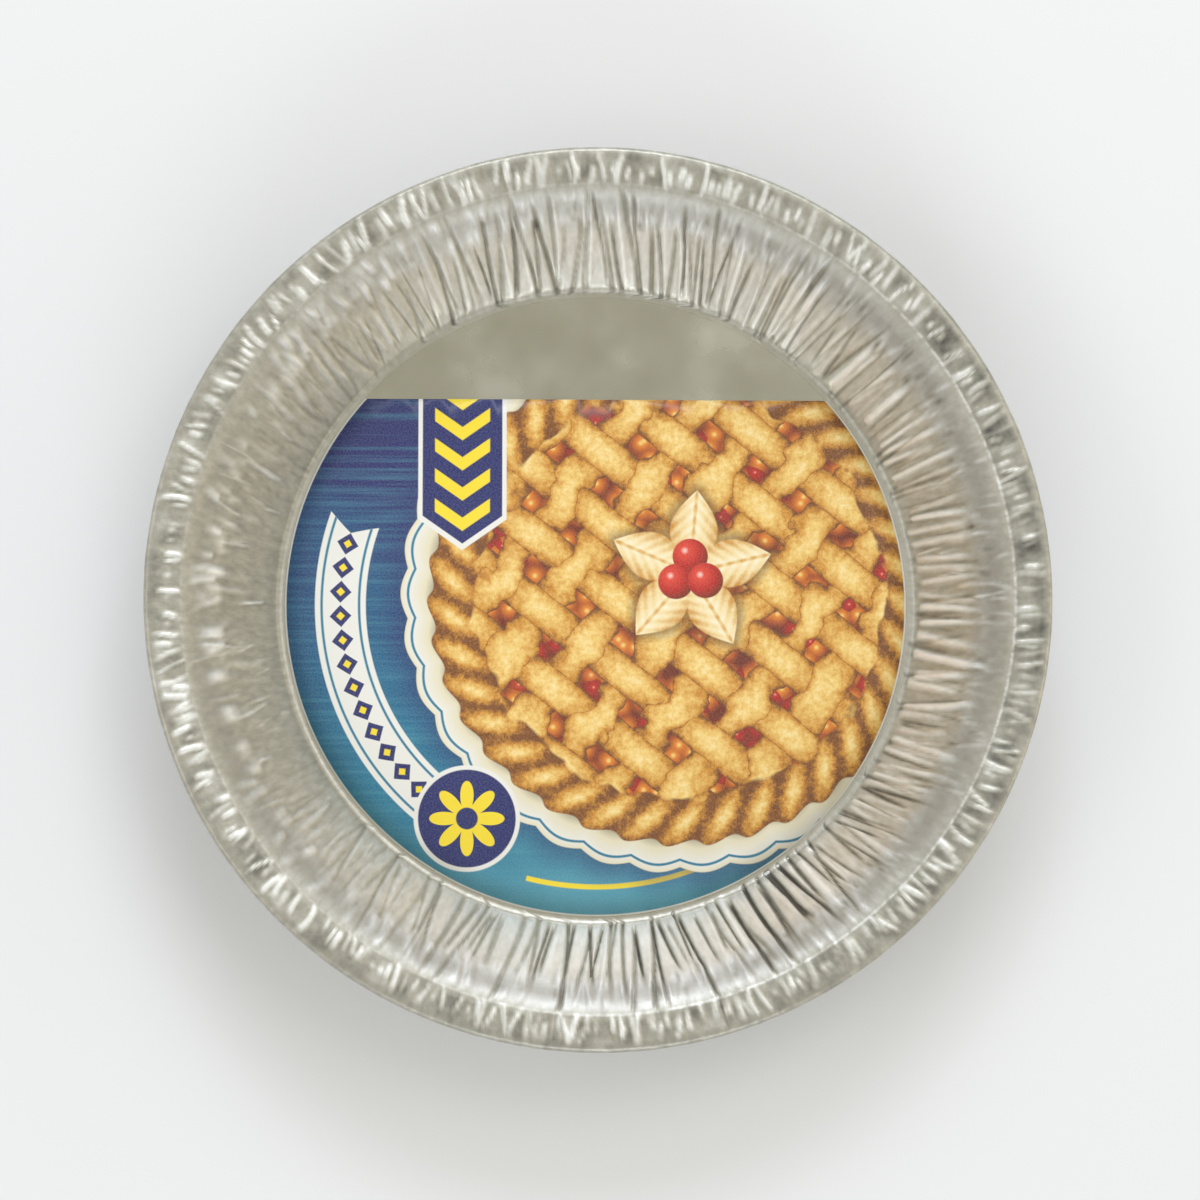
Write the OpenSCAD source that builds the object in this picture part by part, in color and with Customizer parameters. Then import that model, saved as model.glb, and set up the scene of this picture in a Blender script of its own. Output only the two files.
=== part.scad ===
// Round foil pie tin: one pressed sheet of thin foil with a flat floor, a pleated wall, a crinkled
// flare, a crimped flange and a rolled rim. A printed card lies loose on the floor.

/* [Tin] */
// Outer diameter over the rolled rim
rim_d = 244.5; // [230:0.5:275]
// Diameter of the flat floor
floor_d = 173; // [150:0.5:185]
// Height from the underside of the floor to the top of the rim
tin_h = 30; // [26:0.5:45]
// Thickness of the foil
foil_t = 0.1; // [0.08:0.01:0.16]
// Radius of the bend between the floor and the wall
foot_r = 2; // [1:0.25:5]

/* [Rim] */
// Width of the flange, from its inner corner to the outside of the rolled rim
flange_w = 10; // [7:0.25:12]
// Height of the rolled rim above the flange's inner corner
flange_rise = 1.2; // [0.8:0.1:2]
// Outer radius of the rolled rim
roll_r = 1.4; // [1:0.1:2]
// Eighths of a turn that the edge is rolled through, from the top of the rim
roll_eighths = 5; // [4:1:6]
// Height of the crimps across the flange
crimp_depth = 0.8; // [0.3:0.1:1.2]

/* [Wall] */
// Number of pleats round the wall
pleats = 160; // [96:4:168]
// Depth of a full pleat, from its ridge to its valley
pleat_depth = 1.3; // [0.4:0.1:2]
// Most that the pleats lean round the tin between floor and flange, in degrees
pleat_lean = 3; // [0:0.5:5]
// Share of the pitch by which a fold line may stray from its even place
pleat_stray = 0.36; // [0:0.02:0.45]
// Share by which the pleats are shallower on the calm side of the tin
pleat_calm = 0.45; // [0:0.05:0.8]
// Direction of the calm side, in degrees round the tin
calm_side = 188; // [0:1:359]
// Width of the crinkled flare, across the radius
flare_w = 9; // [6:0.25:12]
// Height of the crinkled flare
flare_h = 8.2; // [6:0.1:11]
// Depth of the small crinkles on the flare
crinkle_depth = 0.9; // [0.3:0.1:1.4]

/* [Card] */
// Thickness of the card
card_t = 0.3; // [0.2:0.05:0.5]
// Clearance between the round edge of the card and the edge of the floor
card_gap = 0.75; // [0.5:0.25:5]
// Distance from the centre of the floor to the straight edge of the card
card_top_y = 57; // [35:1:70]

/* [Hidden] */

// Number of fold lines: a ridge and a valley for each pleat
folds = 2 * pleats;
half_t = foil_t / 2;
floor_r = floor_d / 2;
flange_r = rim_d / 2 - flange_w;
flange_z = tin_h - flange_rise;
flare_r = flange_r - flare_w;
flare_z = flange_z - flare_h;
roll_centre_r = rim_d / 2 - roll_r;
roll_centre_z = tin_h - roll_r;
roll_mid_r = roll_r - half_t;

// The wall runs straight from its tangent on the foot bend up to the flare
foot_centre = [floor_r, half_t + foot_r];
to_flare = [flare_r, flare_z] - foot_centre;
foot_angle = atan2(to_flare[1], to_flare[0]) - acos(foot_r / norm(to_flare));
wall_start = foot_centre + foot_r * [cos(foot_angle), sin(foot_angle)];
wall_end = [flare_r, flare_z];
wall_slope = foot_angle + 90;
flare_slope = atan2(flare_h, flare_w);

function blend(a, b, share) = a + (b - a) * share;

// Unit normal of the sheet, towards the inside of the tin, where it climbs at this angle
function inward(slope) = [-sin(slope), cos(slope)];

// Repeatable irregularity between -1 and 1, for fold line i of series s
function vary(i, s) = let (v = sin(i * 78.233 + s * 12.9898) * 43758.5453) 2 * (v - floor(v)) - 1;

// A station is one ring of the sheet: its radius and height, its normal, its share of the way from
// floor to rim, how far its folds stand out, how irregular they are, and how many folds it skips
wall_low = 0.14;
wall_half = 0.55;
flare_half = 0.5;
flange_half = 0.5;
flange_point = [flange_r, flange_z];
roll_top = [roll_centre_r, roll_centre_z + roll_mid_r];

function roll_point(turn) =
    [roll_centre_r, roll_centre_z] + roll_mid_r * [sin(turn), cos(turn)];

stations = concat(
    [
        [[floor_r, half_t], inward(0), 0, 0, 0, 2],
        [wall_start, inward(wall_slope), 0.06, 0.45 * pleat_depth, 0.4, 1],
        [blend(wall_start, wall_end, wall_low), inward(wall_slope), 0.15, pleat_depth, 0.5, 1],
        [blend(wall_start, wall_end, wall_half), inward(wall_slope), 0.45, pleat_depth, 0.5, 1],
        [wall_end, inward((wall_slope + flare_slope) / 2), 0.7, 0.8 * pleat_depth, 0.8, 1],
        [blend(wall_end, flange_point, flare_half), inward(flare_slope), 0.8, crinkle_depth, 1, 1],
        [flange_point, inward(flare_slope / 2), 0.9, 0.4 * crinkle_depth, 0.5, 1],
        [blend(flange_point, roll_top, flange_half), inward(0), 1, crimp_depth, 0.5, 1],
        [roll_top, inward(0), 1, 0, 0, 2]
    ],
    [
        for (step = [1 : roll_eighths])
            let (turn = 45 * step)
            [roll_point(turn), [sin(turn), cos(turn)], 1, 0, 0, 4]
    ]
);

function ring_size(k) = folds / stations[k][5];
function ring_start(k) = k == 0 ? 0 : ring_start(k - 1) + ring_size(k - 1);
last = len(stations) - 1;
side_size = ring_start(last) + ring_size(last);

// Angle of fold line j at a share of the way up. Each line strays from its even place, apart from
// the smooth rings at the floor and the rim, and groups of pleats start to one side of their tops.
function fold_angle(j, climb, skip) =
    let (even = 360 * j / folds)
    let (stray = skip > 1 ? 0 : blend(vary(j, 1), vary(j, 2), climb) * pleat_stray)
    let (sway = 0.6 * sin(3 * even + 20) + 0.4 * sin(7 * even + 75))
    even + 360 / folds * stray + pleat_lean * (1 - climb) * sway;

// Even fold lines are ridges on the inside of the tin and odd ones are valleys. All are shallower
// towards the calm side.
function fold_height(j, depth, rough, k) =
    let (toward_calm = 0.5 + 0.5 * cos(360 * j / folds - calm_side))
    let (strength = 1 - pleat_calm * pow(toward_calm, 3))
    (j % 2 == 0 ? 1 : -1) * depth / 2 * strength * (1 - rough * (0.5 + 0.5 * vary(j, 3 + k)));

// Point of station k on fold line j, on the inner (+1) or outer (-1) face of the foil
function sheet_point(k, j, side) =
    let (s = stations[k])
    let (p = s[0] + s[1] * (fold_height(j, s[3], s[4], k) + side * half_t))
    let (a = fold_angle(j, s[2], s[5]))
    [p[0] * cos(a), p[0] * sin(a), p[1]];

function side_points(side) = [
    for (k = [0 : last])
        for (i = [0 : ring_size(k) - 1])
            sheet_point(k, i * stations[k][5], side)
];

// Index of point i of ring k, where i wraps round the ring
function at(k, i) = ring_start(k) + i % ring_size(k);

// Triangles between rings k and k + 1. A ring may have half or twice the points of the next.
function band(k) =
    let (n = ring_size(k), m = ring_size(k + 1))
    n == m ? [
        for (i = [0 : n - 1])
            each [[at(k, i), at(k + 1, i), at(k + 1, i + 1)], [at(k, i), at(k + 1, i + 1), at(k, i + 1)]]
    ]
    : n < m ? [
        for (i = [0 : n - 1])
            each [
                [at(k, i), at(k + 1, 2 * i), at(k + 1, 2 * i + 1)],
                [at(k, i), at(k + 1, 2 * i + 1), at(k, i + 1)],
                [at(k, i + 1), at(k + 1, 2 * i + 1), at(k + 1, 2 * i + 2)]
            ]
    ]
    : [
        for (i = [0 : m - 1])
            each [
                [at(k, 2 * i), at(k + 1, i), at(k, 2 * i + 1)],
                [at(k, 2 * i + 1), at(k + 1, i), at(k + 1, i + 1)],
                [at(k, 2 * i + 1), at(k + 1, i + 1), at(k, 2 * i + 2)]
            ]
    ];

// The floor and all the bands, facing down as they are listed
under_faces = concat(
    [[for (i = [0 : ring_size(0) - 1]) i]],
    [for (k = [0 : last - 1]) each band(k)]
);

function reversed(face) = [for (i = [len(face) - 1 : -1 : 0]) face[i]];

// Closes the cut edge of the foil, inside the roll
edge_faces = [
    for (i = [0 : ring_size(last) - 1])
        let (a = at(last, i), b = at(last, i + 1))
        each [[a, b, b + side_size], [a, b + side_size, a + side_size]]
];

module tin() {
    color("silver")
    polyhedron(
        points = concat(side_points(1), side_points(-1)),
        faces = concat(
            [for (f = under_faces) reversed(f)],
            [for (f = under_faces) [for (v = f) v + side_size]],
            edge_faces
        )
    );
}

// The card is a round one with a straight edge cut across its top
module card() {
    color("goldenrod")
    translate([0, 0, foil_t])
    linear_extrude(card_t)
    intersection() {
        circle(r = floor_r - card_gap, $fn = 180);
        translate([-floor_r, -floor_r]) square([floor_d, floor_r + card_top_y]);
    }
}

tin();
card();
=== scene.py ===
# %% [markdown]
# A foil pie tin is one round sheet of thin aluminium. A press pushes it into a die, and the spare
# metal of the wall has nowhere to go, so it gathers into pleats. This lesson dresses the solids of
# such a tin: a pleated sheet of foil and the printed card that lies on its floor.
# The solids come first, as a fixed frame in metres, and everything else is made to fit them.

# %% Load the frame
import math

import bmesh
import bpy
import numpy as np
from mathutils import Matrix, Vector, noise


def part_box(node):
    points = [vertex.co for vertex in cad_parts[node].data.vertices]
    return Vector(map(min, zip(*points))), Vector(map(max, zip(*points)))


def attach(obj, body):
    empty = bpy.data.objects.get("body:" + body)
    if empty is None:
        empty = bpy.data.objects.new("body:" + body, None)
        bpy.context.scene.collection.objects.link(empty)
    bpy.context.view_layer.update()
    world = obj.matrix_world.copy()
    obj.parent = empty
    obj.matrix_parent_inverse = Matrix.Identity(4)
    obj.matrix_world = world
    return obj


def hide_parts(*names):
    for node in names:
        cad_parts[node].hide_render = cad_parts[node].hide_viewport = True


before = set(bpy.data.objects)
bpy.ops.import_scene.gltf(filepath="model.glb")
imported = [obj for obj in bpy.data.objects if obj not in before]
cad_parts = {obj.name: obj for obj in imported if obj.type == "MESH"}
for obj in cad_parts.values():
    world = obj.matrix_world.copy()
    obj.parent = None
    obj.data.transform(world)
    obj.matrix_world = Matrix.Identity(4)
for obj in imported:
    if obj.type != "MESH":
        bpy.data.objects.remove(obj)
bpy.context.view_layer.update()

MM = 0.001
tin_low, tin_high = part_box("tin")
card_low, card_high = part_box("card")
rim_r = tin_high.x
tin_h = tin_high.z
print("rim radius and height, mm:", round(rim_r / MM, 2), round(tin_h / MM, 2))

# %% [markdown]
# The photograph looks down on the tin from almost straight above, leaning a little to the front and
# to the left. A long lens a metre away keeps the round rim round. The camera could be placed by
# eye, but working the lens out from the width of the rim in the picture puts it right at once.

# %% Camera
IMAGE_PX = 1200
RIM_PX = 911
LEAN_X = -0.035
LEAN_Y = -0.091
CAMERA_DISTANCE = 1.05
scene = bpy.context.scene

camera_data = bpy.data.cameras.new("camera")
camera = bpy.data.objects.new("camera", camera_data)
scene.collection.objects.link(camera)
scene.camera = camera
rim_centre = Vector((0, -1.4 * MM, tin_h))
lean = Vector((LEAN_X, LEAN_Y, 1)).normalized()
right = Vector((0, 1, 0)).cross(lean).normalized()
camera.location = rim_centre + lean * CAMERA_DISTANCE
camera.rotation_euler = Matrix((right, lean.cross(right), lean)).transposed().to_euler()
camera_data.sensor_width = 36
camera_data.lens = 36 * (RIM_PX / IMAGE_PX) * CAMERA_DISTANCE / (2 * rim_r)
print("lens, mm:", round(camera_data.lens, 1))

# %% [markdown]
# Foil is a blurred mirror, so its look is the look of the room. The walls of the tin face sideways
# and pick up whatever stands low round the table, and the floor of the tin shows the ceiling. Two
# long softboxes, behind and in front, light the crests and grooves at the top and the bottom of the
# picture, and a plain grey room lights the calm sides; painted highlights and shade on the foil add to both.

# %% Room, lamps and table
COOL = (0.8, 0.87, 1.0)
NEUTRAL = (0.97, 0.98, 1.0)
WARM = (1.0, 0.9, 0.68)
TABLE_COLOUR = (0.8, 0.8, 0.8, 1)


def aim(obj, target):
    """Turns a lamp so that it points at the target."""
    obj.rotation_euler = (obj.location - target).to_track_quat("Z", "Y").to_euler()


def softbox(name, place, width, height, watts, colour=(1, 1, 1)):
    lamp_data = bpy.data.lights.new(name, "AREA")
    lamp_data.shape = "RECTANGLE"
    lamp_data.size = width
    lamp_data.size_y = height
    lamp_data.energy = watts
    lamp_data.color = colour
    lamp = bpy.data.objects.new(name, lamp_data)
    lamp.visible_camera = False
    lamp.location = place
    aim(lamp, Vector((0, 0, 0)))
    scene.collection.objects.link(lamp)


softbox("softbox_back", (0.15, 2.4, 1.55), 1.75, 0.85, 40, COOL)
softbox("softbox_front", (0, -2.5, 1.25), 2.0, 0.65, 21, COOL)
softbox("softbox_high", (1.25, 1.25, 2.4), 1.5, 1.5, 10)
softbox("softbox_left", (-2.4, -0.4, 1.75), 2.25, 1.0, 12, NEUTRAL)
softbox("softbox_right", (2.75, -0.25, 0.7), 3.0, 0.75, 13, WARM)

world = bpy.data.worlds.new("room")
scene.world = world
world.use_nodes = True
sky = world.node_tree
height_node = sky.nodes.new("ShaderNodeSeparateXYZ")
direction = sky.nodes.new("ShaderNodeTexCoord")
sky.links.new(direction.outputs["Generated"], height_node.inputs[0])
sky_ramp = sky.nodes.new("ShaderNodeValToRGB")
SKY = (
    (0.0, (0.46, 0.46, 0.45, 1)),
    (0.1, (0.46, 0.46, 0.45, 1)),
    (0.22, (0.71, 0.705, 0.67, 1)),
    (0.86, (0.69, 0.68, 0.64, 1)),
    (0.95, (0.32, 0.31, 0.245, 1)),
)
while len(sky_ramp.color_ramp.elements) < len(SKY):
    sky_ramp.color_ramp.elements.new(0.5)
for element, (place, colour) in zip(sky_ramp.color_ramp.elements, SKY):
    element.position = place
    element.color = colour
sky.links.new(height_node.outputs["Z"], sky_ramp.inputs[0])
sky.links.new(sky_ramp.outputs[0], sky.nodes["Background"].inputs["Color"])

bm = bmesh.new()
bmesh.ops.create_grid(bm, x_segments=1, y_segments=1, size=4)
table_mesh = bpy.data.meshes.new("table")
bm.to_mesh(table_mesh)
bm.free()
table = bpy.data.objects.new("table", table_mesh)
table.location.z = -0.1 * MM
scene.collection.objects.link(table)
table_paint = bpy.data.materials.new("pale_table")
table_paint.use_nodes = True
table_shader = table_paint.node_tree.nodes["Principled BSDF"]
table_shader.inputs["Base Color"].default_value = TABLE_COLOUR
table_shader.inputs["Roughness"].default_value = 0.7
table_mesh.materials.append(table_paint)
scene.view_settings.view_transform = "Standard"

# %% [markdown]
# Materials are drawn with maths nodes. Wiring them by hand takes three lines a node, which hides
# the idea, so a small sketchbook gives each step a short name. It only wires Blender's own nodes.

# %% A sketchbook for node trees


class Sketch:
    """Adds nodes to one tree. Each call returns the output socket of the node it made."""

    def __init__(self, tree):
        self.tree = tree

    def add(self, kind, output=0, inputs=None, **settings):
        node = self.tree.nodes.new(kind)
        for key, value in settings.items():
            setattr(node, key, value)
        for key, value in (inputs or {}).items():
            self.feed(node.inputs[key], value)
        return node.outputs[output]

    def feed(self, socket, value):
        if isinstance(value, bpy.types.NodeSocket):
            self.tree.links.new(value, socket)
        elif value is not None:
            socket.default_value = value

    def maths(self, operation, a, b=None, c=None, clamp=False):
        inputs = {n: v for n, v in enumerate((a, b, c)) if v is not None}
        return self.add("ShaderNodeMath", inputs=inputs, operation=operation, use_clamp=clamp)

    def put(self, x=0.0, y=0.0, z=0.0):
        """A vector from its three parts."""
        return self.add("ShaderNodeCombineXYZ", inputs={0: x, 1: y, 2: z})

    def plus(self, a, b):
        return self.maths("ADD", a, b)

    def minus(self, a, b):
        return self.maths("SUBTRACT", a, b)

    def times(self, a, b):
        return self.maths("MULTIPLY", a, b)

    def scaled(self, value, low, high, to_low=0.0, to_high=1.0, smooth=False):
        """Maps low..high to to_low..to_high and stays inside them."""
        inputs = {0: value, 1: low, 2: high, 3: to_low, 4: to_high}
        kind = "SMOOTHSTEP" if smooth else "LINEAR"
        return self.add("ShaderNodeMapRange", inputs=inputs, interpolation_type=kind)

    def mix(self, share, under, over, blend="MIX"):
        """Lays one colour over another."""
        node = self.tree.nodes.new("ShaderNodeMix")
        node.data_type = "RGBA"
        node.blend_type = blend
        self.feed(node.inputs[0], share)
        self.feed(node.inputs[6], under)
        self.feed(node.inputs[7], over)
        return node.outputs[2]

    def noise(self, where, scale, detail=2.0, roughness=0.5, flat=False):
        """Soft patches. A flat pattern does for a card and is quicker to draw than a solid one."""
        inputs = {"Vector": where, "Scale": scale, "Detail": detail, "Roughness": roughness}
        return self.add("ShaderNodeTexNoise", inputs=inputs, noise_dimensions="2D" if flat else "3D")

    def mapped(self, where, scale=(1, 1, 1), turn=0.0, shift=(0, 0, 0)):
        inputs = {"Vector": where, "Location": shift, "Rotation": (0, 0, turn), "Scale": scale}
        return self.add("ShaderNodeMapping", inputs=inputs)

    def ramp(self, value, *stops):
        """Colours along a value. Each stop is a place and a colour."""
        node = self.tree.nodes.new("ShaderNodeValToRGB")
        while len(node.color_ramp.elements) < len(stops):
            node.color_ramp.elements.new(0.5)
        for element, (place, colour) in zip(node.color_ramp.elements, stops):
            element.position = place
            element.color = (*colour[:3], 1)
        self.feed(node.inputs[0], value)
        return node.outputs[0]

    def below(self, value, edge, soft=0.15):
        """A mask of where the value is below the edge."""
        return self.scaled(value, self.minus(edge, soft), self.plus(edge, soft), 1.0, 0.0)

    def between(self, value, low, high, soft=0.15):
        return self.times(self.below(low, value, soft), self.below(value, high, soft))

    def both(self, *masks):
        result = masks[0]
        for mask in masks[1:]:
            result = self.times(result, mask)
        return result

    def wave(self, value, count=1.0, shift=0.0):
        """The cosine of a number of turns, from -1 to 1."""
        return self.maths("COSINE", self.maths("MULTIPLY_ADD", value, count, shift))

    def polar(self, x, y, centre=(0, 0)):
        """Distance and angle of a point from a centre."""
        dx = self.minus(x, centre[0])
        dy = self.minus(y, centre[1])
        distance = self.maths("SQRT", self.plus(self.times(dx, dx), self.times(dy, dy)))
        return distance, self.maths("ARCTAN2", dy, dx)

    def axes(self, where):
        node = self.tree.nodes.new("ShaderNodeSeparateXYZ")
        self.feed(node.inputs[0], where)
        return node.outputs[0], node.outputs[1], node.outputs[2]

    def place(self, kind="Object"):
        return self.add("ShaderNodeTexCoord", output=kind)


# %% [markdown]
# Hands leave soft marks on foil and on glossy card alike. The marks are one group of nodes with
# named inputs, built once and placed in both materials with a size and an amount of its own. A copy
# of the nodes in each material would do the same, but then a change has to be made twice.

# %% A group for handling marks
handling_marks = bpy.data.node_groups.new("handling_marks", "ShaderNodeTree")
for socket_name, kind in (("Where", "Vector"), ("Size", "Float"), ("Amount", "Float")):
    handling_marks.interface.new_socket(socket_name, in_out="INPUT", socket_type="NodeSocket" + kind)
handling_marks.interface.new_socket("Mark", in_out="OUTPUT", socket_type="NodeSocketFloat")
draw = Sketch(handling_marks)
given = handling_marks.nodes.new("NodeGroupInput").outputs
per_size = draw.maths("DIVIDE", 1.0, given["Size"])
spots = draw.add("ShaderNodeVectorMath", inputs={0: given["Where"], "Scale": per_size}, operation="SCALE")
mark = draw.scaled(draw.noise(spots, 1.0, detail=3), 0.48, 0.68, 0.0, given["Amount"])
draw.feed(handling_marks.nodes.new("NodeGroupOutput").inputs["Mark"], mark)
print("group inputs:", [item.name for item in handling_marks.interface.items_tree])

# %% Colours, materials and pieces


def srgb(red, green, blue):
    """A colour as it looks on a screen, from 0 to 255, as the light it stands for."""
    shares = [v / 255 for v in (red, green, blue)]
    return (*(v / 12.92 if v <= 0.04045 else ((v + 0.055) / 1.055) ** 2.4 for v in shares), 1)


def new_material(name):
    """A material with its Principled shader, and a sketchbook for its tree."""
    material = bpy.data.materials.new(name)
    material.use_nodes = True
    shader = material.node_tree.nodes["Principled BSDF"]
    return material, shader, Sketch(material.node_tree)


def new_piece(name, bm, slot, material, *nodes):
    """Turns a finished bmesh into a piece that rides on the object and stands for its nodes."""
    mesh = bpy.data.meshes.new(name)
    bm.to_mesh(mesh)
    bm.free()
    mesh.materials.append(material)
    piece = bpy.data.objects.new(name, mesh)
    scene.collection.objects.link(piece)
    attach(piece, "root")
    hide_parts(*nodes)
    print(name, "has", sum(len(p.vertices) - 2 for p in mesh.polygons), "triangles")
    return piece


# %% [markdown]
# The sheet of foil keeps the sizes of the solid, so that the two agree. Thin foil can't be modelled
# with every wrinkle it has, so the grid is as fine as a wrinkle that can be seen from a step away:
# nine columns to a pleat. A displacement map on a coarse wall would be quicker to set up, but its
# folds would be gone from the exported shape.

# %% Sizes of the sheet
FOIL_T = 0.1 * MM
FLOOR_R = 86.5 * MM
FOOT_R = 2.0 * MM
FLANGE_W = 10.0 * MM
FLANGE_RISE = 1.2 * MM
FLARE_W = 9.0 * MM
FLARE_H = 8.2 * MM
ROLL_R = 1.4 * MM
PLEATS = 160
COLUMNS = 9 * PLEATS
PLEAT_LEAN = math.radians(3)
PLEAT_STRAY = 0.36
PLEAT_CALM = 0.45
CALM_SIDE = math.radians(188)
SUPPORT_GAP = 0.5 * MM

flange_r = rim_r - FLANGE_W
flange_z = tin_h - FLANGE_RISE
flare_r = flange_r - FLARE_W
flare_z = flange_z - FLARE_H
roll_centre = np.array((rim_r - ROLL_R, tin_h - ROLL_R))

# %% [markdown]
# A press makes the tin round, so its section is drawn once, as a chain of points from the floor to
# the inside of the rolled rim, and will be spun. Rows stand close together at the bends and at the
# foot of the wall, where folds begin, and wide apart where the wall is straight.

# %% Section of the sheet


def on_arc(centre, radius, start, end, steps):
    """Points of an arc, from one angle to the other, without the first."""
    angles = np.linspace(start, end, steps + 1)[1:]
    return [centre + radius * np.array((math.cos(a), math.sin(a))) for a in angles]


def on_line(start, end, steps):
    """Points of a line, without the first."""
    return [start + (end - start) * n / steps for n in range(1, steps + 1)]


foot_centre = np.array((FLOOR_R, FOOT_R))
flare_point = np.array((flare_r, flare_z))
flange_point = np.array((flange_r, flange_z))
to_flare = flare_point - foot_centre
foot_turn = math.atan2(to_flare[1], to_flare[0]) - math.acos(FOOT_R / np.linalg.norm(to_flare))
roll_top = roll_centre + (0, ROLL_R)
corner_cut = 0.6 * MM
flare_way = (flange_point - flare_point) / np.linalg.norm(flange_point - flare_point)
flange_way = (roll_top - flange_point) / np.linalg.norm(roll_top - flange_point)

section = [np.array((FLOOR_R - SUPPORT_GAP, 0.0)), np.array((FLOOR_R, 0.0))]
section += on_arc(foot_centre, FOOT_R, math.radians(-90), foot_turn, 2)
wall_first = len(section) - 1
wall_rows = (0.03, 0.07, 0.12, 0.19, 0.28, 0.39, 0.51, 0.64, 0.77, 0.89, 1.0)
section += [section[wall_first] + (flare_point - section[wall_first]) * share for share in wall_rows]
flare_first = len(section) - 1
section += on_line(flare_point, flange_point - flare_way * corner_cut, 7)
flange_first = len(section) - 1
section += on_line(section[-1], flange_point + flange_way * corner_cut, 2)
section += on_line(section[-1], roll_top, 5)
roll_first = len(section) - 1
section += on_arc(roll_centre, ROLL_R, math.radians(90), math.radians(-135), 5)
section = np.array(section)
ROWS = len(section)
ways = np.gradient(section, axis=0)
ways /= np.linalg.norm(ways, axis=1)[:, None]
normals = np.stack((-ways[:, 1], ways[:, 0]), axis=1)
path = np.concatenate(([0], np.cumsum(np.linalg.norm(np.diff(section, axis=0), axis=1))))
print("rows:", ROWS, "columns:", COLUMNS)

# %% [markdown]
# A press folds spare metal at random, yet each fold is a simple thing: a line that climbs the wall
# and leans a little. The pleats start from the fold lines of the solid, which stray from even
# places, lean in groups and grow shallow on one calm side.

# %% Fold lines


def vary(i, s):
    """Repeatable irregularity between -1 and 1, the same rule as in the solid."""
    v = np.sin(np.radians(i * 78.233 + s * 12.9898)) * 43758.5453
    return 2 * (v - np.floor(v)) - 1


def smooth(value, low, high):
    t = np.clip((value - low) / (high - low), 0, 1)
    return t * t * (3 - 2 * t)


even = 2 * math.pi * np.arange(COLUMNS) / COLUMNS
sway = 0.6 * np.sin(3 * even + math.radians(20)) + 0.4 * np.sin(7 * even + math.radians(75))
row_climb = np.interp(path, path[[1, wall_first, flare_first, flange_first]], [0, 0.06, 0.7, 0.9])
row_climb[roll_first:] = 1


def toward(angle, side, power):
    """How much an angle belongs to one side of the tin."""
    return (0.5 + 0.5 * np.cos(angle - side)) ** power


# %% [markdown]
# A fold in pressed foil is a rounded ridge that starts and ends somewhere on the wall and narrows as
# it climbs. One rule draws them all, and six sets of values make six kinds of mark. A noise texture
# would be less work, but noise has no fingers: it has neither a direction nor two clean ends.

# %% One rule for every ridge
rng = np.random.default_rng(11)
CREST = 1.3 * MM
GROOVE = 0.3 * MM
SLIT = 0.5 * MM
CRINKLE = 0.5 * MM
PEBBLE = 0.2 * MM
CRIMP = 0.55 * MM
DIMPLE = 0.35 * MM


def ridges(middle, lean, half_width, height, start, end, bow=0.0, sharp=1.3, fade=0.05, taper=0.0):
    """A set of ridges. Angles are radians round the tin and the rest are shares of the climb."""
    return {
        "low": middle - lean / 2,
        "high": middle + lean / 2,
        "half": half_width,
        "height": height,
        "start": start,
        "end": end,
        "bow": bow,
        "sharp": sharp,
        "fade": fade,
        "taper": taper,
    }


def field(kind, share, radius, soft):
    """Height of a set of ridges on one ring. Where two of them meet, the taller one shows."""
    centre = kind["low"] * (1 - share) + kind["high"] * share + kind["bow"] * 4 * share * (1 - share)
    away = np.abs((even[None, :] - centre[:, None] + math.pi) % (2 * math.pi) - math.pi) * radius
    along = np.clip((share - kind["start"]) / (kind["end"] - kind["start"]), 0, 1)
    half = kind["half"] * (1 - kind["taper"] * along**2)
    top = np.cos(math.pi / 2 * np.clip(away / half[:, None], 0, 1)) ** kind["sharp"]
    length = smooth(share, kind["start"], kind["start"] + soft)
    length = length * (1 - smooth(share, kind["end"] - kind["fade"], kind["end"]))
    return ((kind["height"] * length)[:, None] * top).max(axis=0)


# %% [markdown]
# The pleats are broad at the front and the back of the tin and rise almost to the flange there. On
# the right they stop at the flare, and on the calm left only the tops of some are left. Creases are
# narrow ridges between them, and slits are the narrow gaps where the foil tucks under itself,
# darkened with painted shade.

# %% Pleats, creases and slits
pleat = np.arange(PLEATS)
pitch = 2 * math.pi / PLEATS
pleat_low = (pleat + vary(2 * pleat, 1) * PLEAT_STRAY / 2) * pitch
pleat_high = (pleat + vary(2 * pleat, 2) * PLEAT_STRAY / 2) * pitch
calm = toward(pleat_low, CALM_SIDE, 4)
across = np.sin(pleat_low) ** 2
pleat_set = ridges(
    middle=(pleat_low + pleat_high) / 2 + rng.uniform(-0.2, 0.2, PLEATS) * pitch,
    lean=pleat_high - pleat_low + rng.uniform(-1.1, 1.1, PLEATS) * pitch,
    half_width=(rng.uniform(1.05, 1.85, PLEATS) + 0.4 * across) * MM,
    height=rng.uniform(0.45, 1.1, PLEATS) * (1 - 0.7 * calm),
    start=rng.uniform(0.05, 0.14, PLEATS) - 0.05 * across + rng.uniform(0.2, 0.5, PLEATS) * calm,
    end=rng.uniform(0.64, 0.84, PLEATS) + 0.16 * across * rng.uniform(0.4, 1, PLEATS) + 0.04 * calm,
    bow=rng.uniform(-0.22, 0.22, PLEATS) * pitch,
    sharp=1.0,
    fade=rng.uniform(0.14, 0.34, PLEATS) - 0.08 * across,
    taper=rng.uniform(0.0, 0.45, PLEATS) * (1 - 0.6 * across),
)
SLITS = 225
slit_middle = (np.arange(SLITS) + rng.uniform(-0.4, 0.4, SLITS)) * 2 * math.pi / SLITS
slit_calm = toward(slit_middle, CALM_SIDE, 4)
slit_across = np.sin(slit_middle) ** 2
slit_depth = rng.uniform(0.35, 1.0, SLITS) * (0.4 + 0.6 * slit_across) + 0.25 * slit_across
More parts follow.
